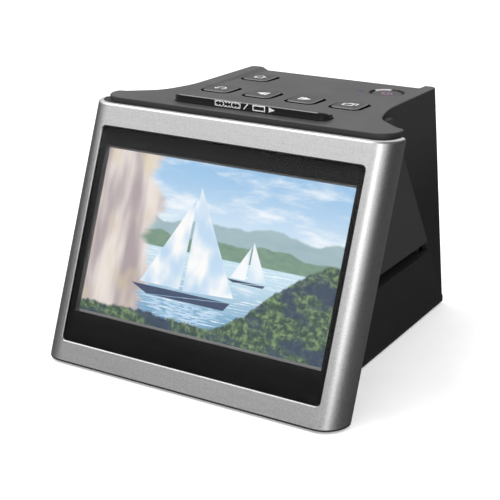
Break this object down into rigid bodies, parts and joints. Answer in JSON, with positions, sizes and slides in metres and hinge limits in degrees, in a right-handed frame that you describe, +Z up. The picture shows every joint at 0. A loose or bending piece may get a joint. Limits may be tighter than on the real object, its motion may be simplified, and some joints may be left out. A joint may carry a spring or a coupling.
{
  "type": "film negative scanner",
  "caption": "Table-top film negative scanner: tilted metal-framed display, drafted housing with a film channel, key panel and long release bar.",
  "frame": {"origin": "centre of the footprint, on the plane the feet stand on", "axes": "+Z up; the display faces -Y and leans back; +X is to the right seen from the front"},
  "size_m": [0.1316, 0.1414, 0.102],
  "materials": {
    "brushed_aluminium": "brushed satin",
    "dark_plastic": "fine matte",
    "grey_plastic": "fine spark-eroded texture",
    "window_glass": "polished",
    "black_print": "printed black",
    "steel": "plain",
    "display": "lit display",
    "white_plastic": "white",
    "rubber": "matte",
    "opal_plastic": "opal",
    "board_green": "solder mask",
    "black_plastic": "flocked black",
    "lens_glass": "polished",
    "chip_black": "moulded",
    "brass": "turned",
    "gloss_black": "gloss",
    "led_blue": "light pipe",
    "key_grey": "satin"
  },
  "bodies": {
    "housing": {"front_bezel": "brushed_aluminium", "bezel_carrier": "dark_plastic", "screen_window": "window_glass", "window_mask": "black_print", "lcd_frame": "steel", "lcd_panel": "display", "lcd_backlight": "white_plastic", "display_back": "dark_plastic", "top_shell": "grey_plastic", "film_gate": "dark_plastic", "base_housing": "dark_plastic", "base_screws": "steel", "rubber_feet": "rubber", "diffuser": "opal_plastic", "light_box": "white_plastic", "led_board": "board_green", "backlight_leds": "opal_plastic", "lens_hood": "black_plastic", "lens_barrel": "black_plastic", "lens_front": "lens_glass", "lens_rear": "lens_glass", "sensor_board": "board_green", "image_sensor": "chip_black", "main_board": "board_green", "gate_posts": "brass", "usb_c_port": "steel", "mini_hdmi_port": "steel", "sd_card_slot": "steel", "processor": "chip_black", "button_board": "board_green", "board_screws": "steel", "tact_switches": "chip_black", "power_ring": "gloss_black", "status_led": "led_blue"},
    "capture_bar": {"capture_bar": "gloss_black"},
    "power_button": {"power_button": "gloss_black"},
    "back_button": {"back_button": "key_grey"},
    "left_button": {"left_button": "key_grey"},
    "right_button": {"right_button": "key_grey"},
    "mode_button": {"mode_button": "key_grey"},
    "home_button": {"home_button": "key_grey"}
  },
  "joints": [
    {"name": "capture_press", "type": "slide", "parent": "housing", "child": "capture_bar", "axis": [0, 0, -1], "range_m": [0, 0.0006], "stiffness_N_per_m": 1500},
    {"name": "power_press", "type": "slide", "parent": "housing", "child": "power_button", "axis": [0, 0, -1], "range_m": [0, 0.0006], "stiffness_N_per_m": 1500},
    {"name": "back_press", "type": "slide", "parent": "housing", "child": "back_button", "axis": [0, 0, -1], "range_m": [0, 0.0006], "stiffness_N_per_m": 1500},
    {"name": "left_press", "type": "slide", "parent": "housing", "child": "left_button", "axis": [0, 0, -1], "range_m": [0, 0.0006], "stiffness_N_per_m": 1500},
    {"name": "right_press", "type": "slide", "parent": "housing", "child": "right_button", "axis": [0, 0, -1], "range_m": [0, 0.0006], "stiffness_N_per_m": 1500},
    {"name": "mode_press", "type": "slide", "parent": "housing", "child": "mode_button", "axis": [0, 0, -1], "range_m": [0, 0.0006], "stiffness_N_per_m": 1500},
    {"name": "home_press", "type": "slide", "parent": "housing", "child": "home_button", "axis": [0, 0, -1], "range_m": [0, 0.0006], "stiffness_N_per_m": 1500}
  ]
}
